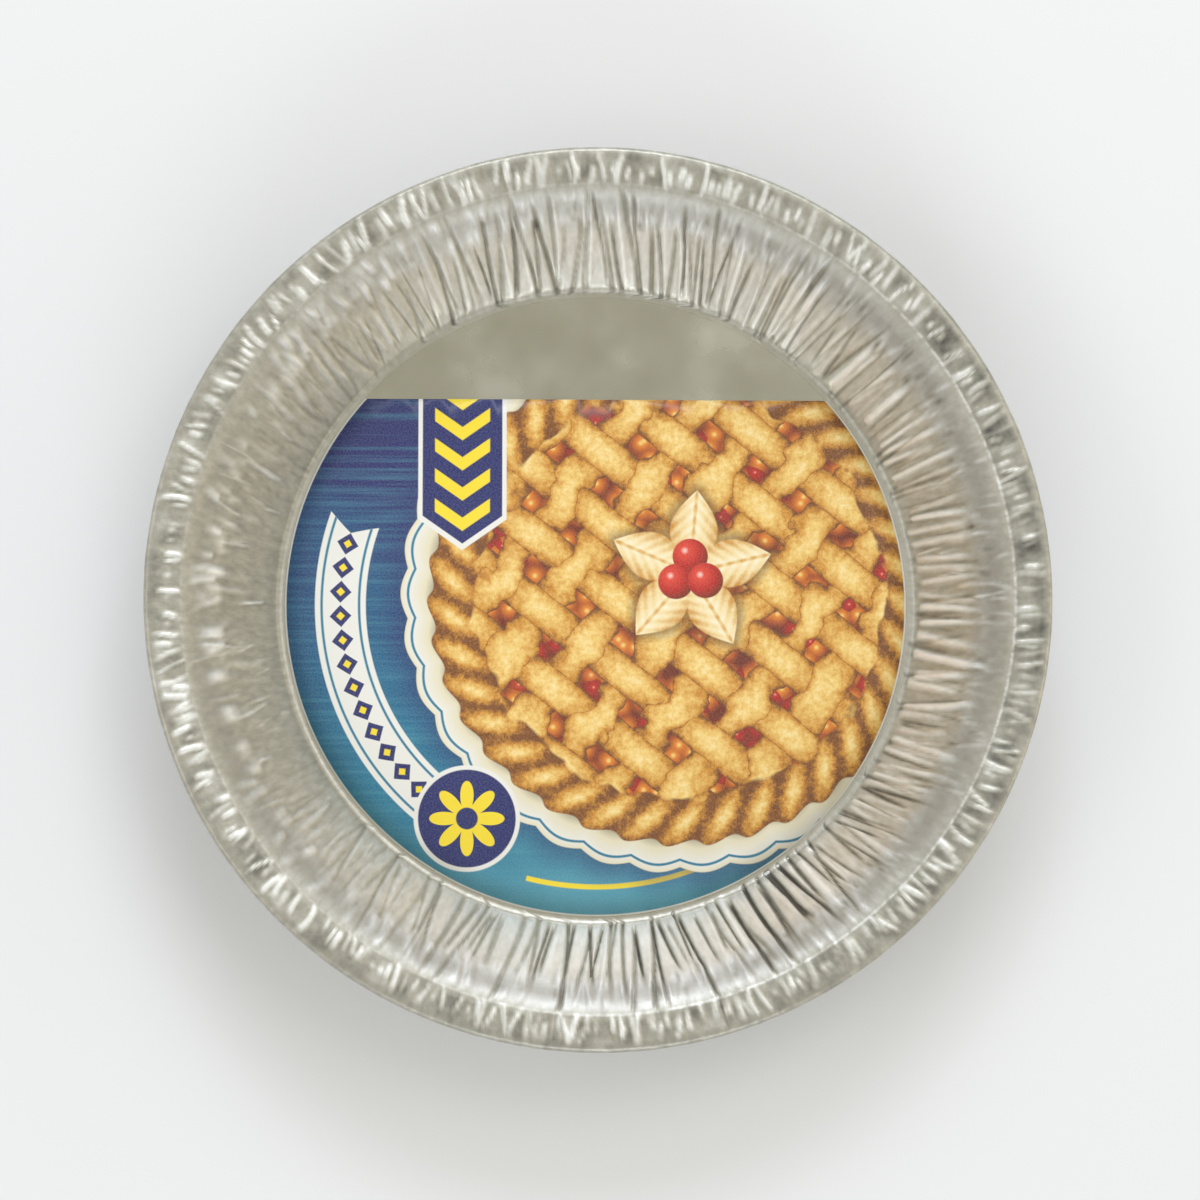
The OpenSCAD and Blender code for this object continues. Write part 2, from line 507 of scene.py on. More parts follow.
slit_depth = slit_depth * (1 - 0.95 * slit_calm) * (1 - 0.2 * toward(slit_middle, math.pi / 2, 6))
slit_depth = slit_depth * (1 + 0.15 * toward(slit_middle, -math.pi / 3, 4))
slit_set = ridges(
    middle=slit_middle,
    lean=rng.uniform(-1.4, 1.4, SLITS) * pitch,
    half_width=rng.uniform(0.55, 1.0, SLITS) * MM,
    height=slit_depth,
    start=rng.uniform(-0.06, 0.12, SLITS),
    end=rng.uniform(0.45, 0.8, SLITS) + 0.26 * slit_across,
    bow=rng.uniform(-0.3, 0.3, SLITS) * pitch,
    fade=0.2,
    taper=rng.uniform(0.0, 0.4, SLITS),
)
CREASES = 190
crease_start = rng.uniform(0.08, 0.6, CREASES)
crease_set = ridges(
    middle=rng.uniform(0, 2 * math.pi, CREASES),
    lean=rng.uniform(-2.6, 2.6, CREASES) * pitch,
    half_width=rng.uniform(0.6, 1.0, CREASES) * MM,
    height=rng.uniform(0.2, 0.65, CREASES),
    start=crease_start,
    end=crease_start + rng.uniform(0.15, 0.35, CREASES),
)
# %% [markdown]
# Above the wall the foil is only squeezed, so the flare has short crinkles and a few dents. The
# flange is clamped between two rings, which print short crimps across it, close together and never
# twice the same. Their places come from steps of random size, as even steps would look like a gear.

# %% Crinkles, dimples and crimps
CRINKLES = 300
crinkle_middle = rng.uniform(0, 2 * math.pi, CRINKLES)
crinkle_calm = toward(crinkle_middle, CALM_SIDE, 4)
crinkle_start = rng.uniform(0.6, 0.8, CRINKLES) - 0.06 * crinkle_calm
crinkle_set = ridges(
    middle=crinkle_middle,
    lean=rng.uniform(-3, 3, CRINKLES) * pitch,
    half_width=rng.uniform(0.7, 1.1, CRINKLES) * (1 + 1.4 * crinkle_calm) * MM,
    height=rng.uniform(0.3, 1.0, CRINKLES) * (1 + 0.9 * crinkle_calm),
    start=crinkle_start,
    end=crinkle_start + rng.uniform(0.1, 0.22, CRINKLES),
    bow=rng.uniform(-0.5, 0.5, CRINKLES) * pitch,
    fade=0.09,
)
DIMPLES = 130
dimple_start = rng.uniform(0.64, 0.78, DIMPLES)
dimple_middle = rng.uniform(0, 2 * math.pi, DIMPLES)
dimple_set = ridges(
    middle=dimple_middle,
    lean=rng.uniform(-3, 3, DIMPLES) * pitch,
    half_width=rng.uniform(0.6, 1.2, DIMPLES) * MM,
    height=rng.uniform(0.4, 1.0, DIMPLES) * (1 - 0.9 * toward(dimple_middle, CALM_SIDE, 3)),
    start=dimple_start,
    end=dimple_start + rng.uniform(0.07, 0.11, DIMPLES),
)
crimp_steps = rng.choice((3, 4, 5, 6, 7, 10), size=500, p=(0.2, 0.28, 0.24, 0.16, 0.09, 0.03))
crimp_places = np.cumsum(crimp_steps)
crimp_places = crimp_places[crimp_places < COLUMNS - 4]
CRIMPS = len(crimp_places)
crimp_set = ridges(
    middle=even[crimp_places],
    lean=rng.uniform(-0.7, 0.7, CRIMPS) * pitch,
    half_width=rng.uniform(0.7, 1.3, CRIMPS) * MM,
    height=rng.uniform(0.4, 1.0, CRIMPS),
    start=rng.uniform(-0.1, 0.35, CRIMPS),
    end=rng.uniform(0.55, 1.1, CRIMPS),
    bow=rng.uniform(-0.25, 0.25, CRIMPS) * pitch,
    fade=0.2,
)
print("pleats, crinkles and crimps:", PLEATS, CRINKLES, CRIMPS)


# %% [markdown]
# The marks are laid over one another row by row. Beside the height, each column gets a number of
# painted light and tone: painted highlight on the tops of folds, crinkles and crimps, painted shade
# below zero inside slits and dimples, lighter or darker by side of the tin, and random mottle on the
# flange. Keeping it with the mesh lets the painted light follow the folds exactly, which a texture
# laid over them never quite does.

# %% Lay the marks over one another


def relief_of(row):
    """How far the columns of a row stand out, and how much painted light and tone they get."""
    climb = row_climb[row]
    radius = section[row, 0]
    broad = 0.7 * np.sin(even) ** 2 * smooth(climb, 0.02, 0.12)
    folds = np.maximum(field(pleat_set, climb, radius, 0.07), field(crease_set, climb, radius, 0.05))
    slits = field(slit_set, climb, radius, 0.08)
    pleats = np.maximum(folds, broad) * (1 - 0.9 * slits)
    crinkles = field(crinkle_set, climb, radius, 0.04)
    dimples = field(dimple_set, climb, radius, 0.035)
    up = path[row] / (4 * MM)
    pebbles = np.array([noise.noise(Vector((math.cos(a) * 38, math.sin(a) * 38, up))) for a in even])
    on_flare = smooth(climb, 0.6, 0.75) * (1 - smooth(climb, 0.86, 0.93))
    wall_fade = smooth(climb, -0.02, 0.05) * (1 - smooth(climb, 0.85, 0.92))
    grooves = GROOVE * (1 - pleats) * (1 - on_flare) * (1 - toward(even, CALM_SIDE, 4) * 0.7)
    small = CRINKLE * crinkles - DIMPLE * dimples + PEBBLE * pebbles * (0.25 + 0.75 * on_flare)
    height = (CREST * pleats - grooves - SLIT * slits + small) * wall_fade

    share = (path[row] - path[flange_first]) / (path[roll_first] - path[flange_first])
    share = min(share, 1.0 + 0.12 * (row - roll_first))
    crimps = field(crimp_set, share, radius, 0.16)
    mottle = np.array([noise.noise(Vector((math.cos(a) * 21, math.sin(a) * 21, 9 + share * 1.5))) for a in even])
    flange_fade = smooth(share, 0.0, 0.2) * (1 - 0.6 * smooth(share, 0.8, 1.0)) * (1 - smooth(share, 1.0, 1.5))
    height = height + (CRIMP * (crimps - 0.3) + PEBBLE * (pebbles + 1.5 * mottle)) * flange_fade
    # Painted light in the number: fold tops, broad pleats and flare crinkles get painted highlight, and slits and
    # dimples get painted shade, the slits darkest at the front right.
    shade = slits * (1 + 0.4 * toward(even, math.radians(-50), 6))
    painted_light_and_tone_level = np.maximum(folds, 0.85 * broad) - shade - 0.8 * dimples + 0.7 * crinkles * on_flare
    # Painted light by side: the front of the wall is painted lighter, the right a little too, and the calm side and the
    # back are painted darker.
    painted_side_light = 0.22 * toward(even, -math.pi / 2, 12) + 0.06 * toward(even, 0, 4)
    painted_side_light = painted_side_light - 0.14 * toward(even, CALM_SIDE, 2) - 0.1 * toward(even, math.pi / 2, 6)
    painted_light_and_tone_level = (painted_light_and_tone_level + painted_side_light) * wall_fade
    # Painted light on the flange: lighter to the left and a little to the back right, darker elsewhere, crimp tops
    # painted as highlights that are weaker on the right, and mottle as random tone.
    painted_flange_light = 0.24 * toward(even, math.radians(165), 3) + 0.1 * toward(even, math.radians(65), 6) - 0.3
    crimp_highlight = 1.35 - 0.5 * toward(even, 0, 8)
    painted_light_and_tone_level = painted_light_and_tone_level + (crimp_highlight * crimps + painted_flange_light - 0.5 * mottle) * flange_fade
    return height, np.clip(painted_light_and_tone_level, -1, 1)


# %% [markdown]
# A spin carries the section round the tin. One sixteenth is spun step by step and the rest are
# copies of it, because a full spin in small steps searches the whole mesh at each step and takes
# half a minute. Then every vertex moves out along its row by the height of its marks.

# %% Spin the sheet and fold it
SECTORS = 16
sector = 2 * math.pi / SECTORS
bm = bmesh.new()
painted_light_and_tone_layer = bm.verts.layers.float.new("painted_light_and_tone")
chain = [bm.verts.new((r, 0, z)) for r, z in section]
line = [bm.edges.new(pair) for pair in zip(chain, chain[1:])]
turn = {"cent": (0, 0, 0), "axis": (0, 0, 1)}
bmesh.ops.spin(bm, geom=chain + line, angle=sector, steps=COLUMNS // SECTORS, **turn)
one_sector = bm.verts[:] + bm.edges[:] + bm.faces[:]
rest = SECTORS - 1
bmesh.ops.spin(bm, geom=one_sector, angle=rest * sector, steps=rest, use_duplicate=True, **turn)
bmesh.ops.remove_doubles(bm, verts=bm.verts, dist=0.001 * MM)
print("spun vertices:", len(bm.verts), "expected:", ROWS * COLUMNS)

spun = np.array([v.co for v in bm.verts])
spun_r = np.hypot(spun[:, 0], spun[:, 1])
spun_column = np.round(np.arctan2(spun[:, 1], spun[:, 0]) / (2 * math.pi) * COLUMNS).astype(int) % COLUMNS
apart = (spun_r[:, None] - section[None, :, 0]) ** 2 + (spun[:, 2, None] - section[None, :, 1]) ** 2
spun_row = apart.argmin(axis=1)

folded = np.zeros((ROWS, COLUMNS, 3))
painted_light_and_tone = np.zeros((ROWS, COLUMNS))
for row in range(2, ROWS):
    angles = even + PLEAT_LEAN * (1 - row_climb[row]) * sway * (row < flange_first)
    relief, painted_light_and_tone[row] = relief_of(row)
    radius = section[row, 0] + normals[row, 0] * relief
    height = section[row, 1] + normals[row, 1] * relief
    folded[row] = np.stack((radius * np.cos(angles), radius * np.sin(angles), height), axis=1)
for vert, row, col in zip(bm.verts, spun_row, spun_column):
    if row > 1:
        vert.co = folded[row, col]
        vert[painted_light_and_tone_layer] = painted_light_and_tone[row, col]

# %% [markdown]
# The floor of the tin is flat, so one face closes it. The solid walls of the sheet come last, and
# the normals are set before that: on a closed shell they would turn the inner side round.

# %% Give the foil its floor and its thickness
edge_loop = [e for e in bm.edges if e.is_boundary and all(math.hypot(v.co.x, v.co.y) < FLOOR_R for v in e.verts)]
bmesh.ops.contextual_create(bm, geom=edge_loop)
bmesh.ops.recalc_face_normals(bm, faces=bm.faces)
floor_face = max(bm.faces, key=lambda f: len(f.verts))
if floor_face.normal.z < 0:
    bmesh.ops.reverse_faces(bm, faces=bm.faces)
for vert in bm.verts:
    vert.co.z += FOIL_T
bmesh.ops.solidify(bm, geom=bm.faces, thickness=FOIL_T)
bmesh.ops.recalc_face_normals(bm, faces=bm.faces)
for face in bm.faces:
    face.smooth = True
heights = [v.co.z for v in bm.verts]
# Counts the vertices with strong painted highlights.
print("rubbed vertices:", sum(v[painted_light_and_tone_layer] > 0.5 for v in bm.verts))
print("foil stands from", round(min(heights) / MM, 3), "to", round(max(heights) / MM, 3), "mm")

# %% [markdown]
# Foil is rolled bright, and the floor of the tin still is: a soft mirror with faint lines along the
# roll. The wall has a darker base tone, and the flare is rougher. Painted highlights brighten the tops
# of the folds and a line at the corner of the flange, painted shade darkens the slits, the dimples and
# the flare, and each side of the tin is painted lighter or darker. One material does it all by reading
# the number on the mesh. A second material for the folds would show a hard border where the metal has
# none.

# %% Foil
foil, foil_shader, draw = new_material("rolled_foil")
where = draw.place()
x, y, z = draw.axes(where)
reach, heading = draw.polar(x, y)
painted_light_and_tone_mask = draw.add("ShaderNodeAttribute", output="Fac", attribute_name="painted_light_and_tone")
round_x = draw.maths("DIVIDE", x, reach)
round_y = draw.maths("DIVIDE", y, reach)
wrinkle = draw.noise(draw.put(round_x, round_y, draw.times(reach, 7.0)), 60.0, detail=2, roughness=0.5)
off_floor = draw.scaled(reach, FLOOR_R - 1 * MM, FLOOR_R + 1 * MM)
grain = draw.noise(draw.mapped(where, scale=(60, 2600, 60)), 1.0, detail=1)
waves = draw.noise(draw.mapped(where, scale=(1.6, 0.35, 1.0)), 26.0, detail=1)
relief = draw.plus(draw.times(grain, 0.05), draw.times(waves, 1.5))
relief = draw.plus(relief, draw.times(draw.times(wrinkle, off_floor), 0.5))
bump = draw.add("ShaderNodeBump", inputs={"Height": relief, "Strength": 0.4, "Distance": 0.6 * MM})
draw.feed(foil_shader.inputs["Normal"], bump)
patches = draw.scaled(draw.noise(where, 60.0), 0.3, 0.7, 0.2, 0.26)
marks = draw.add(
    "ShaderNodeGroup", inputs={"Where": where, "Size": 24 * MM, "Amount": 0.07}, node_tree=handling_marks
)
on_flare = draw.between(reach, flare_r, flange_r - 1.5 * MM, 3 * MM)
patches = draw.plus(draw.plus(patches, marks), draw.times(off_floor, 0.2))
patches = draw.plus(patches, draw.times(on_flare, 0.1))
draw.feed(foil_shader.inputs["Roughness"], patches)
# Random tone from the wrinkle noise is added to the painted light off the floor.
painted_light_and_tone_level = draw.plus(painted_light_and_tone_mask, draw.times(draw.scaled(wrinkle, 0.3, 0.7, -0.12, 0.12), off_floor))
# Painted highlight: a bright line along the inner corner of the flange, strongest on the right and broken up by the
# wrinkles.
painted_corner_highlight = draw.between(reach, flange_r - 0.3 * MM, flange_r + 0.4 * MM, 0.25 * MM)
painted_corner_highlight = draw.times(painted_corner_highlight, draw.scaled(draw.wave(heading, 1.0, math.radians(15)), -0.1, 0.7, 0.1, 0.6))
painted_corner_highlight = draw.times(painted_corner_highlight, draw.scaled(wrinkle, 0.35, 0.6, 0.3, 1.0))
painted_light_and_tone_level = draw.plus(painted_light_and_tone_level, painted_corner_highlight)
# The floor has a bright base tone and the wall a darker one. Below zero the number darkens this to near black as
# painted shade in slits and dimples, and above zero it brightens it to near white as painted highlight.
base_tone_and_slit_shade = draw.mix(off_floor, (0.88, 0.86, 0.77, 1), (0.47, 0.45, 0.375, 1))
base_tone_and_slit_shade = draw.mix(draw.scaled(painted_light_and_tone_level, -0.7, 0.0, 1.0, 0.0), base_tone_and_slit_shade, (0.12, 0.115, 0.1, 1))
foil_tone = draw.mix(draw.scaled(painted_light_and_tone_level, 0.0, 0.95), base_tone_and_slit_shade, (0.95, 0.945, 0.9, 1))
# Painted shade: the flare is darkened, least towards the upper left.
upper_left = draw.wave(heading, 1.0, math.radians(-145))
painted_flare_shade = draw.times(on_flare, draw.scaled(upper_left, 0.2, 1.0, 0.58, 0.36))
foil_tone = draw.mix(painted_flare_shade, foil_tone, (0.25, 0.235, 0.2, 1))
draw.feed(foil_shader.inputs["Base Color"], foil_tone)
draw.feed(foil_shader.inputs["Metallic"], draw.scaled(off_floor, 0, 1, 1.0, 0.55))
tin_piece = new_piece("foil_tin", bm, "foil", foil, "tin")

# %% [markdown]
# The card is a round one with its top cut off straight, so that the foil shows above it. It is spun
# from a few points on a spoke, cut with a plane, and given its thickness last. A plain disc would be
# enough for the outline, but the rings inside let the cut edge curl up a little, as real card does.

# %% Card
CURL = 0.35 * MM
CURL_LENGTH = 26 * MM
card_r = -card_low.x
card_t = card_high.z - card_low.z
bm = bmesh.new()
spokes = [bm.verts.new((card_r * n / 12, 0, card_low.z)) for n in range(13)]
spoke_edges = [bm.edges.new(pair) for pair in zip(spokes, spokes[1:])]
bmesh.ops.spin(
    bm, geom=spokes + spoke_edges, cent=(0, 0, 0), axis=(0, 0, 1), angle=2 * math.pi, steps=180, use_merge=True
)
bmesh.ops.remove_doubles(bm, verts=bm.verts, dist=0.001 * MM)
bmesh.ops.bisect_plane(
    bm,
    geom=bm.verts[:] + bm.edges[:] + bm.faces[:],
    plane_co=(0, card_high.y, 0),
    plane_no=(0, 1, 0),
    clear_outer=True,
)
bmesh.ops.recalc_face_normals(bm, faces=bm.faces)
if next(iter(bm.faces)).normal.z < 0:
    bmesh.ops.reverse_faces(bm, faces=bm.faces)
for vert in bm.verts:
    lift = smooth(vert.co.y, card_high.y - CURL_LENGTH, card_high.y)
    vert.co.z += card_t + CURL * lift * (0.6 + 0.4 * math.cos(vert.co.x / CURL_LENGTH * 1.7 + 0.6))
bmesh.ops.solidify(bm, geom=bm.faces, thickness=card_t)
bmesh.ops.recalc_face_normals(bm, faces=bm.faces)
for face in bm.faces:
    face.smooth = abs(face.normal.z) > 0.5

# %% [markdown]
# The picture on the card is drawn with maths, as fields laid one over another: a ground that turns
# from navy to teal, a plate, a pie with a woven top, a garnish, a ribbon, a roundel and a pennant.
# Each field is a mask and a colour. A painted image would be quicker, but masks stay sharp at any
# size and every colour can be changed in one place.

# %% Colours of the print
NAVY = srgb(32, 40, 104)
DEEP_TEAL = srgb(22, 92, 132)
TEAL = srgb(30, 122, 152)
PALE_TEAL = srgb(84, 158, 178)
PAPER = srgb(238, 236, 228)
CREAM = srgb(232, 222, 190)
YELLOW = srgb(250, 222, 44)
BAKED = srgb(132, 78, 26)
GOLDEN = srgb(208, 144, 48)
BUTTER = srgb(240, 200, 112)
AMBER = srgb(224, 132, 36)
SYRUP = srgb(112, 40, 14)
BERRY = srgb(186, 34, 24)

# %% Ground and plate
ink, ink_shader, draw = new_material("printed_card")
place = draw.mapped(draw.place(), scale=(1000, 1000, 1000))
x, y, z = draw.axes(place)
card_reach, card_heading = draw.polar(x, y)

streaks = draw.noise(draw.mapped(place, scale=(0.012, 0.55, 1)), 1.0, detail=3, roughness=0.7, flat=True)
climb = draw.plus(draw.times(y, 0.9), draw.times(x, -0.25))
climb = draw.plus(climb, draw.scaled(draw.noise(place, 0.03, flat=True), 0.3, 0.7, -12, 12))
print_colour = draw.ramp(
    draw.scaled(climb, -80, 62), (0.0, PALE_TEAL), (0.3, TEAL), (0.62, DEEP_TEAL), (0.9, NAVY)
)
print_colour = draw.mix(draw.scaled(streaks, 0.45, 0.75, 0, 0.4), print_colour, PALE_TEAL)

arc = draw.both(draw.between(card_reach, 77.0, 78.4), draw.between(card_heading, -1.82, -0.62, 0.002))
print_colour = draw.mix(arc, print_colour, YELLOW)

PIE = (23, 3)
pie_reach, pie_heading = draw.polar(x, y, PIE)
pie_reach = draw.times(pie_reach, 0.95)
scallop = draw.maths("ABSOLUTE", draw.wave(pie_heading, 17))
plate_reach = draw.minus(pie_reach, draw.times(scallop, 1.6))
print_colour = draw.mix(draw.scaled(plate_reach, 70, 80, 0.6, 0.0, smooth=True), print_colour, NAVY)
plate_tone = draw.ramp(
    draw.scaled(plate_reach, 62, 71.5), (0.0, srgb(150, 138, 110)), (0.35, CREAM), (0.8, PAPER), (1.0, CREAM)
)
print_colour = draw.mix(draw.below(plate_reach, 71.5), print_colour, plate_tone)
print_colour = draw.mix(draw.between(plate_reach, 69.2, 69.9), print_colour, TEAL)

# %% [markdown]
# The filling shows between the strips as round lumps under a glaze. A smooth Voronoi pattern gives
# lumps of the right kind, and its random colour picks a few of them to be berries.

# %% Filling
wobble = draw.noise(place, 0.09, detail=2, flat=True)
blob_node = draw.tree.nodes.new("ShaderNodeTexVoronoi")
blob_node.feature = "SMOOTH_F1"
blob_node.voronoi_dimensions = "2D"
blob_node.inputs["Scale"].default_value = 0.2
blob_node.inputs["Smoothness"].default_value = 0.4
draw.feed(blob_node.inputs["Vector"], place)
blob = blob_node.outputs["Distance"]
fill = draw.ramp(
    draw.scaled(blob, 0.05, 0.75), (0.0, BUTTER), (0.18, AMBER), (0.6, srgb(176, 84, 22)), (1.0, SYRUP)
)
blob_random = draw.axes(blob_node.outputs["Color"])[0]
berry_tone = draw.ramp(draw.scaled(blob, 0.0, 0.7), (0.0, srgb(244, 150, 120)), (0.15, BERRY), (1.0, SYRUP))
fill = draw.mix(draw.below(0.72, blob_random, 0.02), fill, berry_tone)

# %% [markdown]
# A woven pastry top is two sets of parallel strips, each over and under the other in turn. Every
# strip has a height, and the higher one is drawn, so the weave comes out by itself. Drawing each
# crossing by hand would need a mask apiece.

# %% Woven top
PITCH = 15.0
STRIP = 9.6
warp = draw.scaled(wobble, 0.3, 0.7, -1.6, 1.6)
turned = draw.mapped(draw.put(draw.plus(x, warp), draw.minus(y, warp)), turn=math.radians(38), shift=(3, 3, 0))
weave_x, weave_y, _ = draw.axes(turned)


def strip(across, along, flip):
    """One set of parallel strips: where they are, how high they lie, and their rounded section."""
    lane = draw.maths("DIVIDE", across, PITCH)
    lane_number = draw.maths("FLOOR", lane)
    off_middle = draw.maths("ABSOLUTE", draw.minus(draw.minus(lane, lane_number), 0.5))
    off_middle = draw.maths("DIVIDE", off_middle, 0.5 * STRIP / PITCH)
    mask = draw.below(off_middle, 1.0, 0.03)
    side = draw.wave(lane_number, math.pi)
    lift = draw.times(draw.maths("SINE", draw.times(along, math.pi / PITCH)), draw.times(side, flip))
    section = draw.maths("SQRT", draw.scaled(draw.times(off_middle, off_middle), 0, 1, 1, 0.0))
    return mask, lift, section


mask_a, lift_a, section_a = strip(weave_y, weave_x, 1.0)
mask_b, lift_b, section_b = strip(weave_x, weave_y, -1.0)
top_a = draw.times(mask_a, draw.plus(lift_a, draw.plus(draw.times(section_a, 0.4), 3)))
top_b = draw.times(mask_b, draw.plus(lift_b, draw.plus(draw.times(section_b, 0.4), 3)))
a_over = draw.below(top_b, top_a, 0.02)
woven = draw.maths("MAXIMUM", mask_a, mask_b)


def baked_light(lift, section):
    return draw.plus(draw.times(lift, 0.17), draw.plus(draw.times(section, 0.62), 0.08))


light_a = baked_light(lift_a, section_a)
light_b = baked_light(lift_b, section_b)
strip_light = draw.plus(draw.times(light_a, a_over), draw.times(light_b, draw.minus(1.0, a_over)))
speckle = draw.noise(place, 0.55, detail=4, roughness=0.7, flat=True)
strip_light = draw.plus(strip_light, draw.scaled(speckle, 0.3, 0.7, -0.12, 0.12))
pastry = draw.ramp(
    strip_light, (0.0, srgb(96, 52, 16)), (0.3, BAKED), (0.55, GOLDEN), (0.8, BUTTER), (1.0, srgb(252, 228, 164))
)
pie_top = draw.mix(woven, fill, pastry)
print_colour = draw.mix(draw.below(pie_reach, 57), print_colour, pie_top)

# %% [markdown]
# The crust is a ring of pastry pinched with a thumb. A cosine round the pie gives the pinches, and
# leaning it with the distance makes them slant like a rope.

# %% Crimped crust
slant = draw.plus(pie_heading, draw.times(pie_reach, 0.012))
flute = draw.plus(draw.times(draw.wave(slant, 38), 0.5), 0.5)
crust_edge = draw.minus(pie_reach, draw.times(flute, 1.7))
crust_bulge = draw.maths("SQRT", draw.scaled(draw.maths("ABSOLUTE", draw.minus(pie_reach, 59.5)), 0, 7.5, 1, 0))
crust_light = draw.plus(draw.times(draw.times(flute, crust_bulge), 0.55), draw.times(crust_bulge, 0.3))
crust_light = draw.plus(crust_light, draw.scaled(speckle, 0.3, 0.7, -0.11, 0.16))
crust = draw.ramp(
    crust_light, (0.0, srgb(104, 58, 20)), (0.28, BAKED), (0.52, GOLDEN), (0.78, BUTTER), (1.0, srgb(252, 230, 170))
)
crust_mask = draw.both(draw.below(crust_edge, 64.5), draw.below(draw.plus(54.0, warp), pie_reach, 0.4))
print_colour = draw.mix(crust_mask, print_colour, crust)

# %% [markdown]
# Five pastry leaves and three berries sit off the middle. The angle round the garnish is folded into
# one fifth of a turn, so one leaf, drawn along its own axis, shows five times.

# %% Garnish of pastry leaves and berries
GARNISH = (26, 9)
leaf_reach, leaf_heading = draw.polar(x, y, GARNISH)
LEAVES = 5
leaf_turn = draw.times(draw.plus(leaf_heading, 0.4), LEAVES / (2 * math.pi))
leaf_turn = draw.minus(leaf_turn, draw.maths("FLOOR", leaf_turn))
leaf_off = draw.times(draw.minus(leaf_turn, 0.5), 2 * math.pi / LEAVES)
leaf_along = draw.times(leaf_reach, draw.maths("COSINE", leaf_off))
leaf_across = draw.maths("ABSOLUTE", draw.times(leaf_reach, draw.maths("SINE", leaf_off)))
leaf_width = draw.times(draw.maths("SINE", draw.scaled(leaf_along, 0, 23, 0, math.pi)), 6.6)
leaf_mask = draw.both(draw.below(leaf_across, leaf_width, 0.2), draw.below(leaf_along, 23))
shade_mask = draw.both(draw.below(leaf_across, draw.plus(leaf_width, 2.2), 1.6), draw.below(leaf_along, 24.5, 1.5))
print_colour = draw.mix(draw.times(shade_mask, 0.6), print_colour, srgb(84, 40, 12))
veins = draw.wave(draw.plus(leaf_along, leaf_across), 1.9)
leaf_light = draw.plus(draw.scaled(leaf_across, 0, 7, 0.92, 0.42), draw.times(veins, 0.07))
leaf_light = draw.plus(leaf_light, draw.scaled(speckle, 0.3, 0.7, -0.06, 0.06))
leaf_light = draw.minus(leaf_light, draw.times(draw.below(leaf_across, 0.5, 0.3), 0.35))
leaf_colour = draw.ramp(leaf_light, (0.1, BAKED), (0.4, GOLDEN), (0.7, srgb(244, 218, 158)), (1.0, srgb(254, 244, 214)))
print_colour = draw.mix(leaf_mask, print_colour, leaf_colour)
for berry_x, berry_y in ((26, 13.5), (22, 6.5), (30.2, 6.8)):
    berry_reach, _ = draw.polar(x, y, (berry_x, berry_y))
    shine_reach, _ = draw.polar(x, y, (berry_x - 1.5, berry_y + 1.6))
    berry_light = draw.ramp(
        draw.scaled(shine_reach, 0, 7), (0.0, srgb(255, 214, 200)), (0.16, srgb(226, 70, 50)), (0.6, BERRY), (1.0, SYRUP)
    )
    print_colour = draw.mix(draw.below(berry_reach, 4.9), print_colour, berry_light)

# %% [markdown]
# The flat shapes give the card its trade look without a word on it: a cream ribbon with a chain of
# diamonds, a roundel with a daisy, and a pennant with chevrons. Each is a distance and an edge.

# %% Ribbon, roundel and pennant
ribbon_end = draw.plus(card_heading, draw.times(draw.maths("ABSOLUTE", draw.minus(card_reach, 70.5)), 0.008))
ribbon_start = draw.below(card_heading, -2.1, 0.002)
ribbon_rest = draw.below(2.86, ribbon_end, 0.002)
ribbon_angle = draw.plus(ribbon_start, ribbon_rest)
ribbon = draw.both(draw.between(card_reach, 63.5, 77.5), ribbon_angle)
print_colour = draw.mix(ribbon, print_colour, PAPER)
ribbon_lines = draw.plus(draw.between(card_reach, 65.0, 65.7), draw.between(card_reach, 75.3, 76.0))
chain_step = draw.times(card_heading, 33 / math.pi)
chain_part = draw.maths("ABSOLUTE", draw.minus(draw.minus(chain_step, draw.maths("FLOOR", chain_step)), 0.5))
diamond = draw.plus(draw.times(chain_part, 6.6), draw.maths("ABSOLUTE", draw.minus(card_reach, 70.5)))
diamonds = draw.below(diamond, 3.0)
print_colour = draw.mix(draw.times(ribbon, ribbon_lines), print_colour, TEAL)
print_colour = draw.mix(draw.times(ribbon, diamonds), print_colour, NAVY)
print_colour = draw.mix(draw.times(ribbon, draw.below(diamond, 1.2)), print_colour, YELLOW)

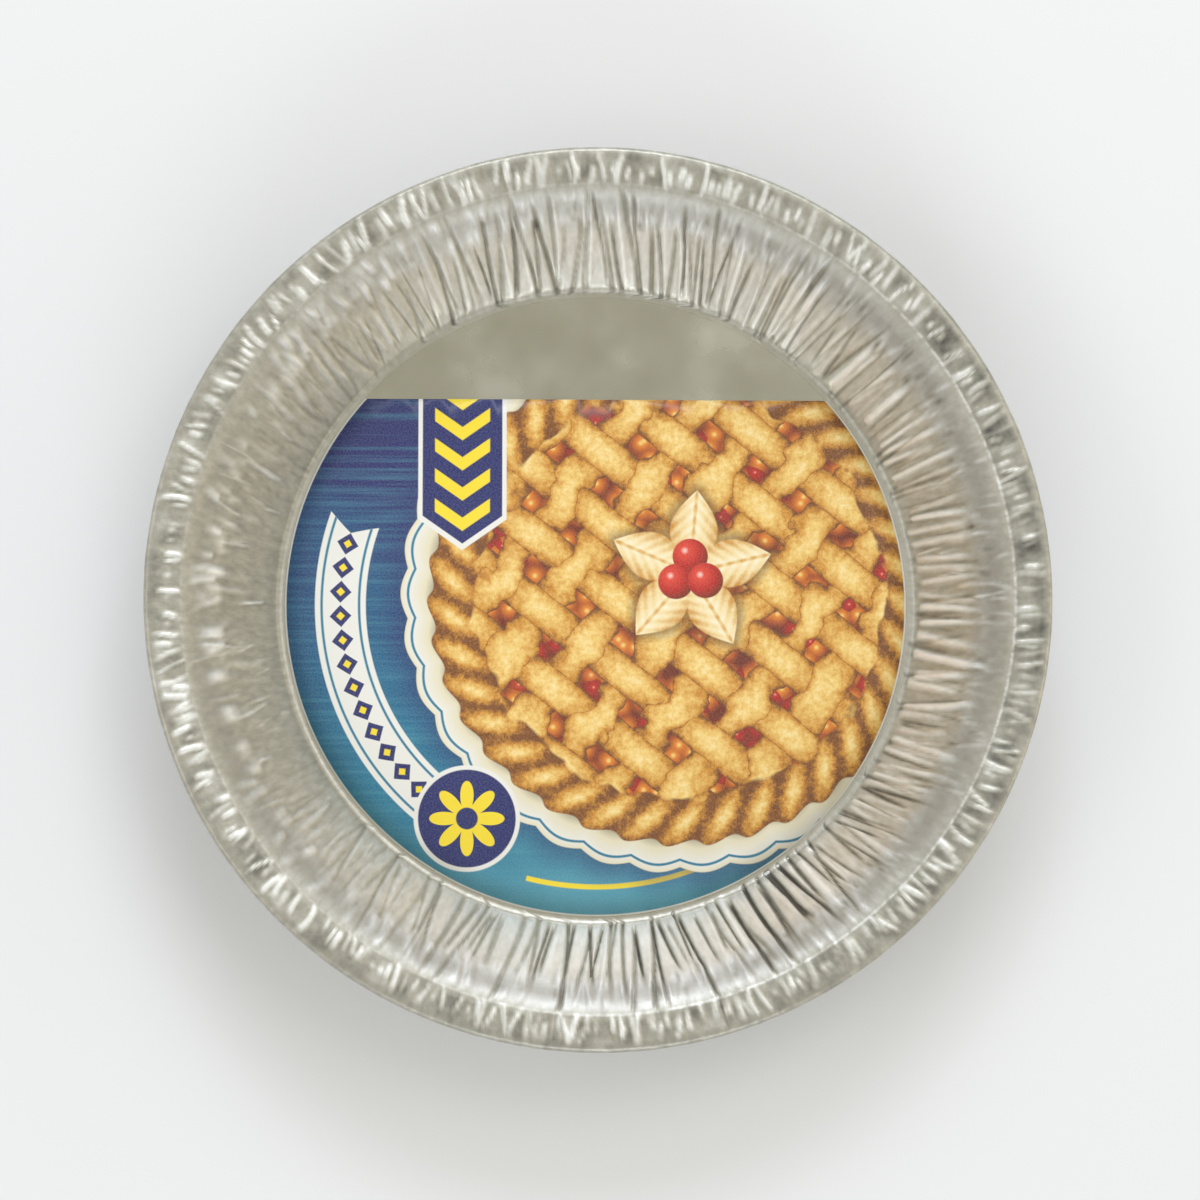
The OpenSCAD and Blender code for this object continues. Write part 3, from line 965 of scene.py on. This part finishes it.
ROUNDEL = (-35.5, -59)
disc_reach, disc_heading = draw.polar(x, y, ROUNDEL)
print_colour = draw.mix(draw.below(disc_reach, 14.6), print_colour, PAPER)
print_colour = draw.mix(draw.below(disc_reach, 13.4), print_colour, NAVY)
petal = draw.minus(disc_reach, draw.times(draw.maths("ABSOLUTE", draw.wave(disc_heading, 4)), 6.5))
print_colour = draw.mix(draw.below(petal, 3.8), print_colour, YELLOW)
print_colour = draw.mix(draw.below(disc_reach, 3.0), print_colour, NAVY)

flag_x = draw.maths("ABSOLUTE", draw.plus(x, 37))
flag_foot = draw.plus(y, draw.times(flag_x, -0.7))
flag = draw.both(draw.below(flag_x, 12.2), draw.below(15.0, flag_foot))
print_colour = draw.mix(flag, print_colour, PAPER)
flag_in = draw.both(draw.below(flag_x, 11.0), draw.below(16.8, flag_foot))
print_colour = draw.mix(flag_in, print_colour, NAVY)
flag_step = draw.maths("DIVIDE", flag_foot, 8.4)
flag_part = draw.minus(flag_step, draw.maths("FLOOR", flag_step))
flag_bars = draw.both(flag_in, draw.below(flag_x, 7.6), draw.between(flag_part, 0.42, 0.86, 0.02))
print_colour = draw.mix(flag_bars, print_colour, YELLOW)

# %% [markdown]
# Card is white inside, so its cut edge and a hair of margin stay pale, and print has a fine grit
# under its gloss. The marks of hands change only the gloss, as they do on a real card.

# %% Card paper
print_colour = draw.mix(draw.below(card_r / MM - 0.45, card_reach, 0.1), print_colour, PAPER)
upward = draw.axes(draw.add("ShaderNodeNewGeometry", output="True Normal"))[2]
print_colour = draw.mix(draw.below(upward, 0.5, 0.1), print_colour, srgb(226, 220, 204))
grit = draw.noise(place, 2.2, detail=2, flat=True)
print_colour = draw.mix(draw.scaled(grit, 0.3, 0.7, 0.0, 0.07), print_colour, PAPER)
draw.feed(ink_shader.inputs["Base Color"], print_colour)
marks = draw.add(
    "ShaderNodeGroup", inputs={"Where": draw.place(), "Size": 30 * MM, "Amount": 0.12}, node_tree=handling_marks
)
draw.feed(ink_shader.inputs["Roughness"], draw.plus(draw.scaled(grit, 0.3, 0.7, 0.36, 0.44), marks))
swell = draw.noise(place, 0.12, detail=2, flat=True)
card_bump = draw.add("ShaderNodeBump", inputs={"Height": swell, "Strength": 0.2, "Distance": 0.2 * MM})
draw.feed(ink_shader.inputs["Normal"], card_bump)
card_piece = new_piece("printed_card", bm, "printed_card", ink, "card")
